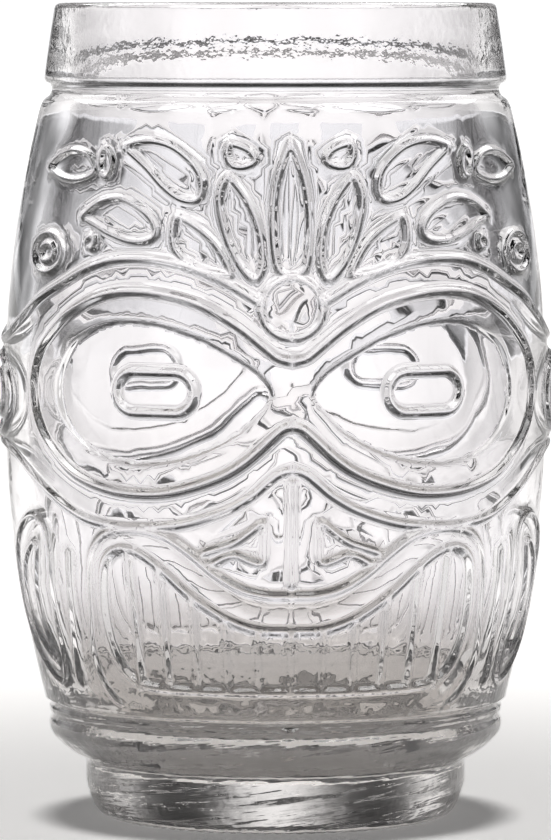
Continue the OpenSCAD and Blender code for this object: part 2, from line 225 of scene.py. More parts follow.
def petal_side(k, t):
    """The upright lines of the cheeks are one family, counted by k. t is 0 at the foot and 1 at the tip."""
    low, mid, top = (start + step * k for start, step in (PETAL_LOW, PETAL_MID, PETAL_TOP))
    return low * (2 * t - 1) * (t - 1) + mid * 4 * t * (1 - t) + top * t * (2 * t - 1)


def petal(first, last, foot, tip):
    """The closed outline of a petal that lies between two of the side lines."""
    middle = (first + last) / 2

    def at(edge, part, t):
        return petal_side(middle + (edge - middle) * part, t), foot + (tip - foot) * t

    right, left = ([at(edge, part, t) for t, part in PETAL_WIDTHS] for edge in (last, first))
    return smooth_curve([at(middle, 0, 0), *right, at(middle, 0, 1), *left[::-1]], STEP, closed=True)


def inset(line, depth):
    """A closed outline moved inwards: the drawn edge is a ridge's foot, and this is its crest."""
    ahead = np.roll(line, -1, axis=0) - np.roll(line, 1, axis=0)
    side = np.stack([-ahead[:, 1], ahead[:, 0]], -1) / np.linalg.norm(ahead, axis=1)[:, None]
    turn = np.sum(line[:, 0] * np.roll(line[:, 1], -1) - line[:, 1] * np.roll(line[:, 0], -1))
    return line + side * depth * np.sign(turn)


CHEEK_CURVE = smooth_curve(CHEEK, STEP)
main_lines = {
    "brow": smooth_curve(BROW, STEP),
    "cheek": CHEEK_CURVE,
    "goggle": smooth_curve(GOGGLE, STEP),
    "lip": smooth_curve(LIP, STEP),
    "mouth": smooth_curve(MOUTH, STEP),
    "pupil": oval(*PUPIL),
    "ear": oval(*EAR),
    "nose_ridge": smooth_curve(NOSE_RIDGE, STEP),
}
EYE_EDGE = smooth_curve(EYE, STEP, closed=True)
fine_lines = {"nostril": smooth_curve(NOSTRIL, STEP, closed=True),
              "jewel": oval(JEWEL[0], JEWEL[1], JEWEL[1]), "bud": oval(*BUD),
              "bud_inner": oval(BUD[0], BUD[1] - 2.3, BUD[2] - 1.7), "ear_boss": oval(*EAR_BOSS)}
for leaf_name, leaf in LEAVES.items():
    if leaf_name == "middle":
        fine_lines[leaf_name] = smooth_curve([(max(u - 0.45, 0), z - 0.3) for u, z in leaf], STEP)
    else:
        fine_lines[leaf_name] = inset(smooth_curve(leaf, STEP, closed=True), 0.5)
for i, line in enumerate(teeth_lines()):
    main_lines[f"tooth_{i}"] = line
for petal_name, sizes in PETALS.items():
    fine_lines[petal_name] = petal(*sizes)
beside_mouth = [(petal_side(0, t), 22.5 + 22 * t) for t in np.linspace(0.05, 0.95, 6)]
fine_lines["beside_mouth"] = smooth_curve(beside_mouth, STEP)
drawn = sum(len(line) * STEP for line in [*main_lines.values(), *fine_lines.values()])
print(f"{len(main_lines) + len(fine_lines)} lines, {drawn:.0f} mm drawn on a quarter of the glass")


# %% [markdown]
# ## Swelling forms between the lines
# Between its lines the carved face swells: the frame round the eyes, the mask, the lips, the leaves and
# the petals of the cheeks. How far a point swells depends on the form it lies in and on its distance to
# that form's edge. The lips are cushions, highest half way between their two lines. The jewel and the
# bosses of the ears are domes. The other forms rise quickly at their edge and stay level inside.

# %% How far the wall swells at a point of the sheet
class Lines:
    """The distance from points of the sheet to the nearest of some lines."""

    def __init__(self, *lines):
        points = np.vstack([self.fine(line) for line in lines])
        self.tree = kdtree.KDTree(len(points))
        for i, (u, z) in enumerate(points):
            self.tree.insert((u, z, 0), i)
        self.tree.balance()

    @staticmethod
    def fine(line):
        at = np.arange(0, len(line) - 1, 0.2)
        return np.stack([np.interp(at, range(len(line)), line[:, i]) for i in (0, 1)], -1)

    def distance(self, points):
        return np.array([self.tree.find((u, z, 0))[2] for u, z in points])


def inside(points, outline):
    """True for each point inside a closed outline."""
    x, y = points[:, 0][:, None], points[:, 1][:, None]
    x0, y0 = outline[:, 0], outline[:, 1]
    x1, y1 = np.roll(x0, -1), np.roll(y0, -1)
    crosses = (y0 <= y) != (y1 <= y)
    with np.errstate(divide="ignore", invalid="ignore"):
        at = x0 + (y - y0) * (x1 - x0) / (y1 - y0)
    return (np.where(crosses, x < at, False).sum(1) % 2) == 1


def smooth_step(x):
    x = np.clip(x, 0, 1)
    return x * x * (3 - 2 * x)


def pillow(near, far):
    """1 half way between two lines and 0 on them, round like a cushion."""
    t = near / np.maximum(near + far, 1e-6)
    return np.clip(4 * t * (1 - t), 0, 1) ** 0.7


def close_over_middle(line):
    """The outline of a half drawing, closed a little beyond the middle line."""
    return np.vstack([[[-2, line[0][1]]], line, [[-2, line[-1][1]]]])


MASK_OUTLINE = np.vstack([[[-2, 82.5]], [[0, 82.5]], main_lines["brow"], [[68, 74.8], [68, 59]],
                          CHEEK_CURVE[::-1], [[-2, 57.2]]])
LIP_OUTLINE = np.vstack([[[-2, 38]], main_lines["lip"], [[20, 17], [-2, 17]]])
LEVELS = {"frame": 0.78, "mask": 0.35, "lips": 0.6, "leaf": 0.12, "petal": 0.3, "nose": 0.3,
          "ear": 0.3, "boss": 0.75, "jewel": 1.0}                    # how far each form swells
RUNS = {"mask": 1.2, "goggle": 1.8, "leaf": 1.6, "petal": 2.2}       # how far in a form reaches its level


def dome(points, centre, half_length, half_height):
    """1 in the middle of an ellipse and 0 at its edge, round like a lens."""
    away = np.hypot((points[:, 0] - centre[0]) / half_length, (points[:, 1] - centre[1]) / half_height)
    return np.sqrt(np.clip(1 - away ** 2, 0, 1))


def swell(points):
    """How far each point of the sheet swells, in millimetres."""
    to_outer = Lines(main_lines["brow"], CHEEK_CURVE).distance(points)
    to_goggle = Lines(main_lines["goggle"]).distance(points)
    to_eye = Lines(EYE_EDGE).distance(points)
    to_lip = Lines(main_lines["lip"], np.array([[0, 18.0], [15, 18.0], [30, 18.2]])).distance(points)
    to_mouth = Lines(main_lines["mouth"]).distance(points)
    in_goggle = inside(points, close_over_middle(main_lines["goggle"]))
    in_eye = inside(points, EYE_EDGE)
    in_mask = inside(points, MASK_OUTLINE)
    in_lip = inside(points, LIP_OUTLINE)
    in_mouth = inside(points, close_over_middle(main_lines["mouth"]))
    bank = 1.9 + 2.1 * smooth_step((points[:, 0] - 24) / 12)
    frame_level = LEVELS["frame"] * np.sqrt(1 - np.clip(1 - to_eye / bank, 0, 1) ** 2)
    mask_level = LEVELS["mask"] * smooth_step(to_outer / RUNS["mask"])
    mask_level += (LEVELS["frame"] - LEVELS["mask"]) * (1 - smooth_step(to_goggle / RUNS["goggle"]))
    out = np.where(in_goggle & ~in_eye, frame_level, 0)
    out += np.where(in_mask & ~in_goggle, mask_level, 0)
    out += np.where(in_lip & ~in_mouth, LEVELS["lips"] * pillow(to_lip, to_mouth), 0)
    for form, names in (("leaf", LEAVES), ("petal", PETALS)):
        for name in names:
            line = fine_lines[name]
            outline = close_over_middle(line) if name == "middle" else line
            depth = Lines(line).distance(points)
            out += np.where(inside(points, outline), LEVELS[form] * smooth_step(depth / RUNS[form]), 0)
    out = np.maximum(out, LEVELS["jewel"] * dome(points, JEWEL[0], JEWEL[1], JEWEL[1]))
    ear = inside(points, main_lines["ear"])
    out = np.where(ear, np.maximum(out, LEVELS["ear"]), out)
    out = np.maximum(out, LEVELS["boss"] * dome(points, *EAR_BOSS))
    cheek_low = np.interp(points[:, 0], CHEEK_CURVE[:, 0], CHEEK_CURVE[:, 1])
    in_nose = smooth_step((cheek_low - points[:, 1]) / 3) * smooth_step(to_lip / 2)
    out += np.where(~in_lip, LEVELS["nose"] * in_nose * smooth_step((17 - points[:, 0]) / 6), 0)
    return out


# %% [markdown]
# ## A skin that is fine only where it has to be
# A ridge is about a millimetre wide, so the mesh needs points every third of a millimetre across it,
# but only every millimetre along it or on plain glass. Rows of points are laid beside each line, plain
# points fill the rest, and a Delaunay triangulation joins them into one net.

# %% Scatter the points of one quarter of the wall
WALL_LOW, WALL_HIGH = BARREL_LOW + 1.6, BARREL_HIGH - 0.8
COLUMNS = 48                 # mesh columns in a quarter turn, shared with the turned parts
ROWS_MAIN = (0, 0.3, -0.3, 0.6, -0.6, 0.95, -0.95, 1.4, -1.4)
ROWS_FINE = (0, 0.27, -0.27, 0.55, -0.55, 0.9, -0.9)
ALONG_MAIN, ALONG_FINE = 0.85, 0.8      # how far apart a row's points are
CLOSEST = 0.24               # the least distance between points near lines,
PLAIN_GAP = 0.8              # and from any of those to a plain point
PLAIN_STEP = 1.25
EDGE_ROWS = 150              # rows of points on the upright edges


def rows_beside(line, offsets):
    ahead = np.gradient(line, axis=0)
    side = np.stack([-ahead[:, 1], ahead[:, 0]], -1) / np.linalg.norm(ahead, axis=1)[:, None]
    for offset in offsets:
        yield line + offset * side


def stepped_again(line, step):
    length = np.concatenate([[0], np.cumsum(np.linalg.norm(np.diff(line, axis=0), axis=1))])
    at = np.linspace(0, length[-1], max(2, int(round(length[-1] / step)) + 1))
    return np.stack([np.interp(at, length, line[:, i]) for i in (0, 1)], -1)


def edge_points():
    edge_u = np.linspace(0, QUARTER, COLUMNS + 1)
    edge_z = np.linspace(WALL_LOW, WALL_HIGH, EDGE_ROWS)[1:-1]
    return ([np.stack([edge_u, np.full(len(edge_u), z)], -1) for z in (WALL_LOW, WALL_HIGH)]
            + [np.stack([np.full(len(edge_z), u), edge_z], -1) for u in (0, QUARTER)])


def row_points():
    """The rows beside the lines: first the crests, then the rows further and further down the sides."""
    main_rows = [list(rows_beside(stepped_again(line, ALONG_MAIN), ROWS_MAIN))
                 for line in main_lines.values()]
    fine_rows = [list(rows_beside(stepped_again(line, ALONG_FINE), ROWS_FINE))
                 for line in (*fine_lines.values(), EYE_EDGE)]
    return [rows[k] for k in range(len(ROWS_MAIN))
            for rows in main_rows + (fine_rows if k < len(ROWS_FINE) else [])]


def plain_points():
    u, z = np.meshgrid(np.arange(0.7, QUARTER, PLAIN_STEP), np.arange(WALL_LOW + 0.7, WALL_HIGH, PLAIN_STEP))
    z = z + 0.5 * PLAIN_STEP * (np.arange(z.shape[1]) % 2)[None, :]
    return np.stack([u.ravel(), z.ravel()], -1)


class Thinner:
    """Keeps a point only if no kept point is too near, by means of a grid of small cells."""

    def __init__(self):
        self.kept, self.cells = [], {}

    def add(self, u, z, gap):
        a, b = int(u / CLOSEST), int(z / CLOSEST)
        reach = int(math.ceil(gap / CLOSEST))
        around = (self.cells.get((i, j)) for i in range(a - reach, a + reach + 1)
                  for j in range(b - reach, b + reach + 1))
        if not any(q and (q[0] - u) ** 2 + (q[1] - z) ** 2 < gap * gap for q in around):
            self.keep(u, z)

    def keep(self, u, z):
        self.cells[(int(u / CLOSEST), int(z / CLOSEST))] = (u, z)
        self.kept.append((u, z))


thinner = Thinner()
for group in edge_points():
    for u, z in group:
        thinner.keep(u, z)
for group, gap in [*((row, CLOSEST) for row in row_points()), (plain_points(), PLAIN_GAP)]:
    for u, z in group:
        if CLOSEST < u < QUARTER - CLOSEST and WALL_LOW + CLOSEST < z < WALL_HIGH - CLOSEST:
            thinner.add(u, z, gap)
net = geometry.delaunay_2d_cdt([Vector(p) for p in np.array(thinner.kept)], [], [], 0, 1e-7)
sheet = np.array([tuple(v) for v in net[0]])
triangles = [list(f) for f in net[2]]
print(len(sheet), "points and", len(triangles), "triangles in a quarter of the wall")


# %% [markdown]
# ## A small way to write node trees
# The materials, the light and both Geometry Nodes trees are built by the two classes below, so that a
# formula in a tree reads like a formula.

# %% A small way to write node trees
class Tree:
    """One method makes any node: its settings first, then the values or links of its sockets."""

    def __init__(self, nodes, links):
        self.nodes, self.links = nodes, links

    def node(self, kind, settings=None, **sockets):
        made = self.nodes.new(kind)
        for key, value in (settings or {}).items():
            if key == "stops":
                self.set_stops(made, value)
            else:
                setattr(made, key, value)
        for key, value in sockets.items():
            place = int(key[1:]) if key[0] == "i" and key[1:].isdigit() else key.replace("_", " ")
            self.put(made.inputs[place], value)
        return made

    def colour(self, brightness, tint):
        """The tint, made brighter or darker by a wire."""
        made = self.node("ShaderNodeCombineColor", **{f"i{k}": brightness * tint[k] for k in range(3)})
        return made.outputs[0]

    def put(self, socket, value):
        if isinstance(value, Wire):
            value = value.socket
        if isinstance(value, bpy.types.NodeSocket):
            self.links.new(value, socket)
        else:
            socket.default_value = value

    @staticmethod
    def set_stops(made, stops):
        ramp = made.color_ramp
        while len(ramp.elements) < len(stops):
            ramp.elements.new(0.5)
        for element, (at, colour) in zip(ramp.elements, stops):
            element.position = at
            element.color = (*colour, 1)


class Wire:
    """A number flowing through a tree: an expression on it adds its Math nodes."""

    def __init__(self, tree, socket):
        self.tree, self.socket = tree, socket

    def math(self, operation, a, b=0.0):
        """A Math node in the wire's tree, fed by any two wires or numbers."""
        made = self.tree.node("ShaderNodeMath", {"operation": operation}, i0=a, i1=b)
        return Wire(self.tree, made.outputs[0])

    def __add__(self, other):
        return self.math("ADD", self, other)

    def __radd__(self, other):
        return self.math("ADD", other, self)

    def __sub__(self, other):
        return self.math("SUBTRACT", self, other)

    def __rsub__(self, other):
        return self.math("SUBTRACT", other, self)

    def __mul__(self, other):
        return self.math("MULTIPLY", self, other)

    def __rmul__(self, other):
        return self.math("MULTIPLY", other, self)

    def __truediv__(self, other):
        return self.math("DIVIDE", self, other)

    def __rtruediv__(self, other):
        return self.math("DIVIDE", other, self)

    def __pow__(self, other):
        return self.math("POWER", self, other)

    def fall(self, start, end):
        """1 up to start, 0 from end on, with a smooth fall between."""
        made = self.tree.node("ShaderNodeMapRange", {"interpolation_type": "SMOOTHSTEP"}, Value=self,
                              From_Min=start, From_Max=end, To_Min=1.0, To_Max=0.0)
        return Wire(self.tree, made.outputs[0])


# %% [markdown]
# ## Clear glass
# Soda glass bends light by 1.52 and is almost colourless. Its faint grey tint is set by a stored point
# attribute: in the solid foot it is the tint of thick glass, and the deepening of the tint up the lower half
# of the wall and on the swollen forms is painted shade. The shader is one Principled node with full
# transmission. Bumps in its normal stand for the marks that are too fine for the mesh: slanted streaks on the
# foot and waist, fire-polished grain in the rim, dimples in the well, and a slow ripple all over.

# %% The glass material
def new_material(name):
    material = bpy.data.materials.new(name)
    material.use_nodes = True
    material.node_tree.nodes.clear()
    return material, Tree(material.node_tree.nodes, material.node_tree.links)


STREAK_TILT = -0.14          # in radians


def glass_material():
    material, tree = new_material("clear_soda_glass")
    place = tree.node("ShaderNodeTexCoord").outputs["Object"]
    axes = tree.node("ShaderNodeSeparateXYZ", i0=place)
    z = Wire(tree, axes.outputs[2])        # in metres, like the heights of the zones below
    on_base = z.fall(0.0182, 0.0192)
    on_rim = 1.0 - z.fall(0.112, 0.116)
    on_well = z.fall(0.022, 0.036)
    squashed = tree.node("ShaderNodeMapping", {"vector_type": "TEXTURE"}, i0=place,
                         Rotation=(0.0, STREAK_TILT, 0.0), Scale=(1 / 40, 1 / 40, 1 / 420))
    streak = tree.node("ShaderNodeTexNoise", i0=squashed.outputs[0], Scale=1.0, Detail=3.0)
    grain, dimple, slow, cloud = (tree.node("ShaderNodeTexNoise", i0=place, Scale=scale, Detail=detail)
                                  for scale, detail in ((700.0, 2.0), (250.0, 2.0), (90.0, 2.0), (35.0, 1.0)))
    marks = Wire(tree, streak.outputs[0]) * on_base + Wire(tree, grain.outputs[0]) * on_rim * 0.1
    marks = marks + Wire(tree, dimple.outputs[0]) * on_well * 0.7
    # The grey tint is partly the glass's own in the thick foot and partly painted shade, deepening up the
    # lower wall and on the swollen forms.
    thick = tree.node("ShaderNodeAttribute", {"attribute_name": "thick"}).outputs["Fac"]
    clouded = Wire(tree, thick) + (Wire(tree, cloud.outputs[0]) - 0.5) * 0.3
    stops = [(0.2, (0.975, 0.972, 0.985)), (0.6, (0.88, 0.868, 0.878)), (1.0, (0.79, 0.765, 0.745))]
    tint = tree.node("ShaderNodeValToRGB", {"stops": stops}, Fac=clouded)
    marked = tree.node("ShaderNodeBump", Strength=0.8, Distance=0.0005, Height=marks)
    ripple = tree.node("ShaderNodeBump", Strength=0.16, Distance=0.0004, Height=slow.outputs[0],
                       Normal=marked.outputs[0])
    rough = Wire(tree, cloud.outputs[0]) * 0.02
    shader = tree.node("ShaderNodeBsdfPrincipled", Base_Color=tint.outputs[0], Roughness=rough, IOR=1.52,
                       Normal=ripple.outputs[0])
    shader.inputs["Transmission Weight"].default_value = 1.0
    out = tree.node("ShaderNodeOutputMaterial")
    tree.links.new(shader.outputs[0], out.inputs["Surface"])
    return material


clear_glass = glass_material()

# %% [markdown]
# ## Raising the ridges with Geometry Nodes
# The mould's carved grooves leave ridges on the glass, all with one rounded section. That is a rule, so
# a node tree applies it: it measures how far each point lies from the drawn lines and moves it outwards,
# away from the axis. The ridges keep their section wherever the lines go, and a line can be redrawn
# without touching the tree. The bars between the teeth and the petals of the cheeks are lines of the
# same kind.

# %% Build the tree that presses the relief
def new_geometry_tree(name, inputs):
    """A tree with named inputs, and a look-up of them by name."""
    group = bpy.data.node_groups.new(name, "GeometryNodeTree")
    group.interface.new_socket("Geometry", in_out="INPUT", socket_type="NodeSocketGeometry")
    for label, kind in inputs:
        group.interface.new_socket(label, in_out="INPUT", socket_type=kind)
    group.interface.new_socket("Geometry", in_out="OUTPUT", socket_type="NodeSocketGeometry")
    tree = Tree(group.nodes, group.links)
    start = tree.node("NodeGroupInput")
    return group, tree, {socket.name: Wire(tree, socket) for socket in start.outputs if socket.name}


def finish_geometry_tree(tree, given, offset):
    """The end that both trees share: move the points, realize, and set the material."""
    moved = tree.node("GeometryNodeSetPosition", Geometry=given["Geometry"], Offset=offset.outputs[0])
    real = tree.node("GeometryNodeRealizeInstances", i0=moved.outputs[0])
    done = tree.node("GeometryNodeSetMaterial", i0=real.outputs[0], Material=given["Glass"])
    end = tree.node("NodeGroupOutput")
    tree.links.new(done.outputs[0], end.inputs[0])


NUMBER, OBJECT, MATERIAL = "NodeSocketFloat", "NodeSocketObject", "NodeSocketMaterial"
RELIEF_INPUTS = [("Main Lines", OBJECT), ("Fine Lines", OBJECT), ("Main Half Width", NUMBER),
                 ("Main Height", NUMBER), ("Fine Half Width", NUMBER), ("Fine Height", NUMBER),
                 ("Swell", NUMBER), ("Glass", MATERIAL)]


def relief_tree():
    group, tree, given = new_geometry_tree("Press the relief", RELIEF_INPUTS)
    place = tree.node("GeometryNodeInputPosition").outputs[0]

    def ridge(lines, half_width, height):
        target = tree.node("GeometryNodeObjectInfo", i0=given[lines])
        near = tree.node("GeometryNodeProximity", {"target_element": "EDGES"}, i0=target.outputs["Geometry"])
        away = Wire(tree, near.outputs["Distance"]) * 1000.0
        return given[height] * away.fall(0.05, given[half_width]) ** 1.4

    def stored(name):
        made = tree.node("GeometryNodeInputNamedAttribute", {"data_type": "FLOAT"}, Name=name)
        return Wire(tree, made.outputs[0])

    main = ridge("Main Lines", "Main Half Width", "Main Height")
    fine = ridge("Fine Lines", "Fine Half Width", "Fine Height")
    raised = main.math("MAXIMUM", main, fine) + given["Swell"] * stored("swell")
    outwards = tree.node("ShaderNodeVectorMath", {"operation": "MULTIPLY"}, i0=place, i1=(1, 1, 0))
    outwards = tree.node("ShaderNodeVectorMath", {"operation": "NORMALIZE"}, i0=outwards.outputs[0])
    offset = tree.node("ShaderNodeVectorMath", {"operation": "SCALE"}, i0=outwards.outputs[0],
                       Scale=raised * stored("fade") * 0.001)
    finish_geometry_tree(tree, given, offset)
    return group


def object_from(name, points, edges=(), faces=()):
    mesh = bpy.data.meshes.new(name)
    mesh.from_pydata([tuple(p) for p in points], edges, faces)
    made = bpy.data.objects.new(name, mesh)
    bpy.context.scene.collection.objects.link(made)
    return made


def guide_object(name, lines):
    """The drawn lines, laid on the wall as bare edges."""
    points, edges = [], []
    for key, line in lines.items():
        first = len(points)
        points += list(on_wall(line[:, 0], line[:, 1]))
        edges += [(first + i, first + i + 1) for i in range(len(line) - 1)]
    return object_from(name, points, edges)


def run_tree(made, group, settings):
    """Runs a node tree on an object and returns the plain mesh that comes out."""
    modifier = made.modifiers.new("nodes", "NODES")
    modifier.node_group = group
    for item in group.interface.items_tree:
        if item.in_out == "INPUT" and item.name in settings:
            modifier[item.identifier] = settings[item.name]
    bpy.context.view_layer.update()
    result = bpy.data.meshes.new_from_object(made.evaluated_get(bpy.context.evaluated_depsgraph_get()))
    made.modifiers.remove(modifier)
    return result


def store(mesh, name, values):
    mesh.attributes.new(name, "FLOAT", "POINT").data.foreach_set("value", np.asarray(values, np.float32))


wall = object_from("wall_sheet", on_wall(sheet[:, 0], sheet[:, 1]), faces=triangles)
fade = smooth_step((sheet[:, 1] - WALL_LOW) / 1.0) * smooth_step((WALL_HIGH - sheet[:, 1]) / 1.0)
swelling = swell(sheet)
store(wall.data, "swell", swelling)
store(wall.data, "fade", fade)
guides = [guide_object("main_guides", main_lines), guide_object("fine_guides", fine_lines)]
pressed = run_tree(wall, relief_tree(), {
    "Main Lines": guides[0], "Main Half Width": 1.05, "Main Height": 0.85,
    "Fine Lines": guides[1], "Fine Half Width": 0.88, "Fine Height": 0.66,
    "Swell": 1.0, "Glass": clear_glass})
quarter = np.array([v.co for v in pressed.vertices])
quarter_faces = np.array([tuple(p.vertices) for p in pressed.polygons])
for helper in (wall, *guides):
    bpy.data.objects.remove(helper, do_unlink=True)
proud = np.hypot(quarter[:, 0], quarter[:, 1]).max() / MM - BARREL_R
print(f"the relief stands {proud:.2f} mm proud of the barrel's greatest radius")

# %% [markdown]
# ## The turned parts
# Everything that isn't carved is round: the rim band, the neck, the smooth inside, the waist band and
# the foot. Each is one outline turned about the axis, with as many columns as the carved wall's edge, so
# the skin closes without a gap. Where the knurling and the chin tick will be, a ring has three times as
# many. Glass softens as it is fire-polished, so no edge is quite sharp.

# %% Outlines as radius and height, in millimetres
WALL_T = 3.2                 # the barrel's wall
NECK_WALL = 3.3              # the wall inside the neck groove
NECK_GROOVE = 1.7            # how deep the groove lies behind the shoulder
WELL_Z = 13.0                # the bottom of the hollow
PUNT_Z = 1.6                 # the middle of the foot's underside


def hollow_radius(z):
    return float(bulge(z, BARREL_R - WALL_T, SHOULDER_R - NECK_GROOVE - NECK_WALL))


UPPER = [(float(barrel_radius(WALL_HIGH)), WALL_HIGH), (36.5, 111.3), (36.0, 112.1), (35.2, 112.7),
         (34.9, 113.4), (34.95, 114.1), (35.3, 114.55), (35.85, 114.75), (36.05, 115.2), (35.95, 116.2),
         (35.55, 119), (34.95, 123), (34.5, 125.9), (34.3, 126.6), (33.85, 126.95), (33.3, 127.0),
         (32.75, 126.9), (32.45, 126.4), (32.4, 125.4)]
INSIDE = ([(32.4, 125.4), (32.4, 122), (32.3, 118.5), (32.1, 115.2), (32.0, 112.4), (32.4, 109.6)]
          + [(hollow_radius(z), z) for z in (105, 100, 94, 86, 76, 66, 56, 46, 37, 30)]
          + [(32.3, 24.6), (30.2, 19.6), (26.9, 15.8), (22.6, 13.6), (17.5, WELL_Z), (10, WELL_Z),
             (4, WELL_Z), (0.5, WELL_Z)])
LOWER = [(float(barrel_radius(WALL_LOW)), WALL_LOW), (36.25, 19.0), (36.0, 18.6), (35.4, 18.3),
         (34.9, 18.0), (34.95, 17.8), (35.4, 17.5), (35.55, 17.1), (35.4, 16.7), (35.0, 16.45),
         (34.9, 16.2), (35.15, 15.9), (35.5, 15.1), (35.45, 14.1), (34.9, 12.9), (33.75, 11.7),
         (32.3, 10.5), (30.7, 9.6), (29.9, 9.15), (29.7, 8.7), (29.75, 7.6), (29.75, 5.6), (29.65, 4.8),
         (29.25, 3.7), (28.75, 2.3), (28.1, 1.1), (27.1, 0.3), (25.8, 0.02), (24.2, 0.0), (22.2, 0.0),
         (20.8, 0.12), (19.2, 0.4), (14.5, 0.95), (9, 1.35), (4, 1.55), (0.5, PUNT_Z)]
RING = 4 * COLUMNS
FINE_RINGS = [(-0.1, 0.9, 19.6), (12.6, 17.5, 34.0)]    # from height, to height, beyond radius


def ring_points(r, z, columns):
    turn = np.arange(columns) * (2 * math.pi / columns)
    return np.stack([r * np.sin(turn), -r * np.cos(turn), z + 0 * turn], -1) * MM


class Skin:
    """Points and faces of the whole glass, grown ring by ring from the carved wall."""

    def __init__(self, points, faces):
        self.points, self.faces, self.inside = [points], list(faces), [np.zeros(len(points))]
        self.count = len(points)

    def add_face(self, upwards, *corners):
        self.faces.append(corners if upwards else corners[::-1])

    def add_turned(self, outline, upwards, inside=False, pole_z=None):
        """Turns an outline about the axis. With pole_z its last ring is closed to a point."""
        last = None
        for r, z in outline:
            fine = any(low < z < high and r > least for low, high, least in FINE_RINGS)
            columns = RING * (3 if fine else 1)
            here = (self.count, columns)
            self.append(ring_points(r, z, columns), inside)
            if last:
                self.join(last, here, upwards)
            last = here
        if pole_z is not None:
            pole = self.count
            self.append(np.array([[0, 0, pole_z * MM]]), inside)
            for j in range(RING):
                self.add_face(upwards, last[0] + j, last[0] + (j + 1) % RING, pole)

    def append(self, points, inside):
        self.points.append(points)
        self.inside.append(np.full(len(points), float(inside)))
        self.count += len(points)

    def join(self, low, high, upwards):
        """Faces between two rings. Where one has three times the columns, a face has three corners more."""
        for j in range(RING):
            edges = []
            for first, columns in (low, high):
                many = columns // RING
                edges.append([first + (j * many + k) % columns for k in range(many + 1)])
            if len(edges[0]) == len(edges[1]):
                for k in range(len(edges[0]) - 1):
                    self.add_face(upwards, edges[0][k], edges[0][k + 1], edges[1][k + 1], edges[1][k])
            else:
                self.add_face(upwards, *edges[0], *edges[1][::-1])


def mirrored_quarters(points, faces):
    """The wall all round: the quarter, mirrored over the face's middle line and over the mould seams."""
    all_points, all_faces = [], []
    for sx, sy in ((1, 1), (-1, 1), (1, -1), (-1, -1)):
        first = sum(len(p) for p in all_points)
        all_points.append(points * (sx, sy, 1))
        turned_round = sx * sy < 0
        all_faces += [tuple(first + n for n in (f[::-1] if turned_round else f)) for f in faces.tolist()]
    return np.vstack(all_points), all_faces


skin = Skin(*mirrored_quarters(quarter, quarter_faces))
skin.add_turned(smooth_curve(UPPER, 0.55), True)
skin.add_turned(smooth_curve(INSIDE, 1.9), True, inside=True, pole_z=WELL_Z)
skin.add_turned(smooth_curve(LOWER, 0.8), False, pole_z=PUNT_Z)
glass = object_from("glass_tumbler", np.vstack(skin.points), faces=skin.faces)
store(glass.data, "inside", np.concatenate(skin.inside))
skin_z = np.vstack(skin.points)[:, 2] / MM
swollen = np.concatenate([np.tile(swelling, 4), np.zeros(skin.count - 4 * len(swelling))])
# The tint grows from 56 mm down to 14 mm and with the relief's swelling: in the foot that is the glass's
# thickness, on the wall above it is painted shade.
darker_towards_foot = 1 - smooth_step((skin_z - 14) / 42)
store(glass.data, "thick", np.maximum(0.35 + 0.4 * swollen, darker_towards_foot))


def close_skin(made, gap=2e-6):
    """Welds the seams, points the faces outwards and smooths the shading. gap is in metres."""
    work = bmesh.new()
    work.from_mesh(made.data)
    bmesh.ops.remove_doubles(work, verts=work.verts, dist=gap)
    bmesh.ops.recalc_face_normals(work, faces=work.faces)
    open_edges = sum(1 for e in work.edges if len(e.link_faces) != 2)
    work.to_mesh(made.data)
    count = sum(len(f.verts) - 2 for f in work.faces)
    volume = work.calc_volume() / MM ** 3
    work.free()
    made.data.polygons.foreach_set("use_smooth", [True] * len(made.data.polygons))
    return open_edges, count, volume


open_edges, count, volume = close_skin(glass)
print(f"glass skin: {count} triangles, {open_edges} open edges, {volume / 1000:.1f} cm3")

# %% [markdown]
# ## Marks of the making
# Three marks follow rules of their own, so a second tree adds them to the closed skin. The inside never
# touched the mould and is gently rippled, most of all round the well. The bearing ring is knurled with
# slanted strokes, so that the glass stands without slipping. And a short upright tick sits on the waist
# band under each chin.

# %% Build the tree that finishes the skin
FINISH_INPUTS = [("Ripple Height", NUMBER), ("Ripple Size", NUMBER), ("Knurl Height", NUMBER),
                 ("Knurl Strokes", NUMBER), ("Knurl Slant", NUMBER), ("Tick Height", NUMBER),
                 ("Glass", MATERIAL)]


def finish_tree():
    group, tree, given = new_geometry_tree("Finish the skin", FINISH_INPUTS)
    place = tree.node("GeometryNodeInputPosition").outputs[0]
    axes = tree.node("ShaderNodeSeparateXYZ", i0=place)
    x, y, z = (Wire(tree, s) * 1000.0 for s in axes.outputs)
    inner = tree.node("GeometryNodeInputNamedAttribute", {"data_type": "FLOAT"}, Name="inside")
    noise = tree.node("ShaderNodeTexNoise", Vector=place, Scale=1000.0 / given["Ripple Size"], Detail=1.6)
    ripple = (Wire(tree, noise.outputs[0]) - 0.5) * 2.0 * given["Ripple Height"]
    ripple = ripple * Wire(tree, inner.outputs[0]) * (1.0 + 2.0 * z.fall(20.0, 36.0))
    away = (x * x + y * y) ** 0.5
    turn = x.math("ARCTAN2", x, y) * given["Knurl Strokes"] + away * given["Knurl Slant"] / 10.0
    stroke = x.math("COSINE", turn) * 0.5 + 0.5
    ring = away.fall(26.4, 27.4) * (1.0 - away.fall(20.6, 21.6)) * z.fall(0.6, 1.0)
    waist = z.fall(16.6, 17.1) * (1.0 - z.fall(12.9, 13.4)) * (1.0 - away.fall(34.0, 34.4))
    tick = (x * x).fall(0.2, 1.2) * waist
    raised = ripple - stroke * ring * given["Knurl Height"] + tick * given["Tick Height"]
    normal = tree.node("GeometryNodeInputNormal").outputs[0]
    offset = tree.node("ShaderNodeVectorMath", {"operation": "SCALE"}, i0=normal, Scale=raised * 0.001)
    finish_geometry_tree(tree, given, offset)
    return group


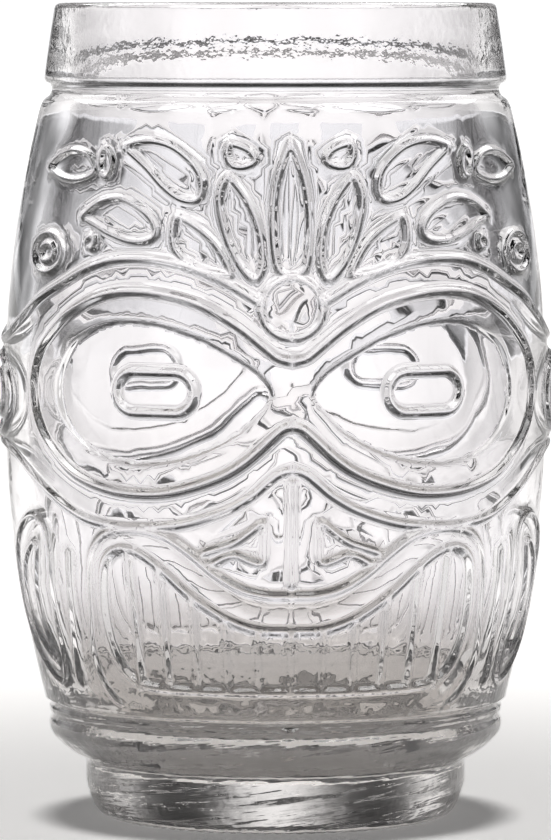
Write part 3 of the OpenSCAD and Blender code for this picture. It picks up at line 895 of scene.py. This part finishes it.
glass.data = run_tree(glass, finish_tree(), {
    "Ripple Height": 0.1, "Ripple Size": 8.0, "Knurl Height": 0.2, "Knurl Strokes": 96.0,
    "Knurl Slant": 9.0, "Tick Height": 0.8, "Glass": clear_glass})
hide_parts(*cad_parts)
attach(glass, "root")

# %% [markdown]
# ## The studio
# Clear glass has no colour of its own: it is drawn by what it bends. Bright panels stand all round with
# narrow dark gaps between them, under a dark ceiling. Seen straight through, the glass is white, and
# wherever a ridge or an edge bends the light to a gap or to the ceiling, it shows as a dark line. The
# light depends only on the place in the room, not on where it is seen from.

# %% The floor, the surroundings and the lamps
FLOOR_R = 9.0                # in metres, like the other sizes of the room
PANELS = 8
PANEL_TURN = math.radians(3.4)
PANEL_EDGE = 1.5             # how steeply a panel fades at its edge
RIGHT_SHADE = 0.45           # how much dimmer the right side is
WORLD_GAP, FLOOR_GAP = 0.04, 0.1        # the brightness between two panels, in the sky and in the panel light painted on the floor
WALL_TOP, CEILING = 0.95, 0.03          # the brightness of the panels and of the ceiling
FLOOR_NEAR, FLOOR_FAR = 0.5, 0.5        # the floor's painted glow at the glass, and how much painted panel light it gains far off
UNDER_SHADE = 0.75           # painted shadow: how much of the glow is taken away under the foot
LAMP_SIZE, LAMP_AWAY = 0.8, 1.2
LAMP_TILT = 50.0             # in degrees above the floor
LAMP_LIGHT = 4.0             # how many times brighter than a white panel
FLOOR_SINK = 0.0002          # keeps the floor clear of the bearing ring


def panel_light(x, y, gap, shade):
    """Bright panels stand all round, with dimmer gaps between them and a dimmer right side."""
    wave = x.math("COSINE", (x.math("ARCTAN2", x, y) - PANEL_TURN) * float(PANELS)) * 0.5 + 0.5
    side = 1.0 - shade * (1.0 - (x / (x * x + y * y) ** 0.5).fall(0.1, 0.7))
    return (wave ** PANEL_EDGE * (1.0 - gap) + gap) * side


def studio_floor():
    """A pale floor with a painted glow. Under the foot a painted shadow darkens it, and far off it carries
    painted panel light, with dark gaps and a dimmer right side.
    """
    turn = np.linspace(0, 2 * math.pi, 96, endpoint=False)
    points = np.stack([FLOOR_R * np.cos(turn), FLOOR_R * np.sin(turn), 0 * turn - FLOOR_SINK], -1)
    floor = object_from("studio_floor", points, faces=[tuple(range(96))])
    material, tree = new_material("pale_floor")
    diffuse = tree.node("ShaderNodeBsdfDiffuse", Color=(0.9, 0.9, 0.9, 1))
    axes = tree.node("ShaderNodeSeparateXYZ", i0=tree.node("ShaderNodeTexCoord").outputs["Object"])
    x, y = (Wire(tree, s) for s in axes.outputs[:2])
    away = (x * x + y * y) ** 0.5
    # Painted light: far off, the floor's glow takes the pattern of the panels, with their dark gaps and the
    # dimmer right side, as if lit by them.
    far = 1.0 - away.fall(0.15, 0.6)
    panels = panel_light(x, y, 1.0 - far * (1.0 - FLOOR_GAP), far * RIGHT_SHADE)
    rise = panels * (1.0 - away.fall(0.02, 0.3)) * FLOOR_FAR
    # Painted shadow: the glow is dimmed in a disc under the foot's edge.
    painted_glow_and_shadow = (1.0 - away.fall(0.033, 0.04) * UNDER_SHADE) * FLOOR_NEAR
    glow = tree.node("ShaderNodeEmission", Color=tree.colour(rise + painted_glow_and_shadow, (1, 0.985, 0.97)), Strength=1.0)
    both = tree.node("ShaderNodeAddShader", i0=diffuse.outputs[0], i1=glow.outputs[0])
    out = tree.node("ShaderNodeOutputMaterial")
    tree.links.new(both.outputs[0], out.inputs["Surface"])
    floor.data.materials.append(material)
    return floor


def studio_world():
    world = bpy.data.worlds.new("studio")
    world.use_nodes = True
    world.node_tree.nodes.clear()
    tree = Tree(world.node_tree.nodes, world.node_tree.links)
    way = tree.node("ShaderNodeTexCoord").outputs["Generated"]
    axes = tree.node("ShaderNodeSeparateXYZ", i0=way)
    x, y, z = (Wire(tree, s) for s in axes.outputs)
    horizon = z.fall(0.0, 0.02) * 0.9          # the far wall meets the floor without a seam
    panels = panel_light(x, y, WORLD_GAP, RIGHT_SHADE)
    bright = panels * z.fall(0.08, 0.45) * (WALL_TOP - CEILING) + CEILING
    bright = bright.math("MAXIMUM", bright, horizon)
    glow = tree.node("ShaderNodeBackground", Color=tree.colour(bright, (0.99, 0.99, 1.0)), Strength=1.0)
    out = tree.node("ShaderNodeOutputWorld")
    tree.links.new(glow.outputs[0], out.inputs["Surface"])
    bpy.context.scene.world = world


def studio_lamps():
    """Four soft boxes hang all round. Only the glass's shine shows them, as highlights on the ridges."""
    for quarter_turn in range(4):
        turn = math.radians(45 + 90 * quarter_turn)
        tilt = math.radians(LAMP_TILT)
        data = bpy.data.lights.new("soft_box", "AREA")
        data.shape = "SQUARE"
        data.size = LAMP_SIZE
        data.energy = LAMP_LIGHT * math.pi * LAMP_SIZE ** 2
        lamp = bpy.data.objects.new("soft_box", data)
        bpy.context.scene.collection.objects.link(lamp)
        way = Vector((math.cos(turn) * math.cos(tilt), math.sin(turn) * math.cos(tilt), math.sin(tilt)))
        lamp.location = way * LAMP_AWAY + Vector((0, 0, MID_Z * MM))
        lamp.rotation_euler = way.to_track_quat("Z", "Y").to_euler()
        lamp.visible_camera = False
        lamp.visible_diffuse = False
        lamp.visible_transmission = False


studio_world()
studio_lamps()
studio_floor()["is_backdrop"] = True

# %% [markdown]
# ## The camera
# It stands at the height of the rim and not quite in front of the face, so the rim is seen nearly edge on
# and the lines of the back show through a little beside those of the front.

# %% The camera and the render's settings
CAMERA_TURN = -3.4           # in degrees from straight ahead
CAMERA_AWAY = 0.940          # in metres, like the heights below
CAMERA_HIGH = 0.126
AIM_HIGH = 0.0618
SEEN_HIGH = 0.1315           # how much height the picture takes in at the glass


def studio_camera():
    data = bpy.data.cameras.new("camera")
    camera = bpy.data.objects.new("camera", data)
    bpy.context.scene.collection.objects.link(camera)
    turn = math.radians(CAMERA_TURN)
    camera.location = (CAMERA_AWAY * math.sin(turn), -CAMERA_AWAY * math.cos(turn), CAMERA_HIGH)
    aim = Vector((0, 0, AIM_HIGH)) - camera.location
    camera.rotation_euler = aim.to_track_quat("-Z", "Y").to_euler()
    data.sensor_width = 36
    data.lens = 36 * aim.length / SEEN_HIGH
    data.clip_end = 20
    bpy.context.scene.camera = camera


studio_camera()
# Light is turned back many times inside thick glass. With few bounces those paths would end in black.
bounces = bpy.context.scene.cycles
bounces.max_bounces = bounces.transmission_bounces = 28
bounces.glossy_bounces = 12
bpy.context.scene.view_settings.view_transform = "Standard"
bpy.context.scene.view_settings.look = "Medium High Contrast"

# %% [markdown]
# ## The sizes side by side
# The box of the CAD model and the box of the glass are written out, so that they can be compared.

# %% Write both boxes and finish
VISUAL_BOX = [list(corner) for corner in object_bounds()]
print("visual box in mm:", [[round(c / MM, 1) for c in corner] for corner in VISUAL_BOX])
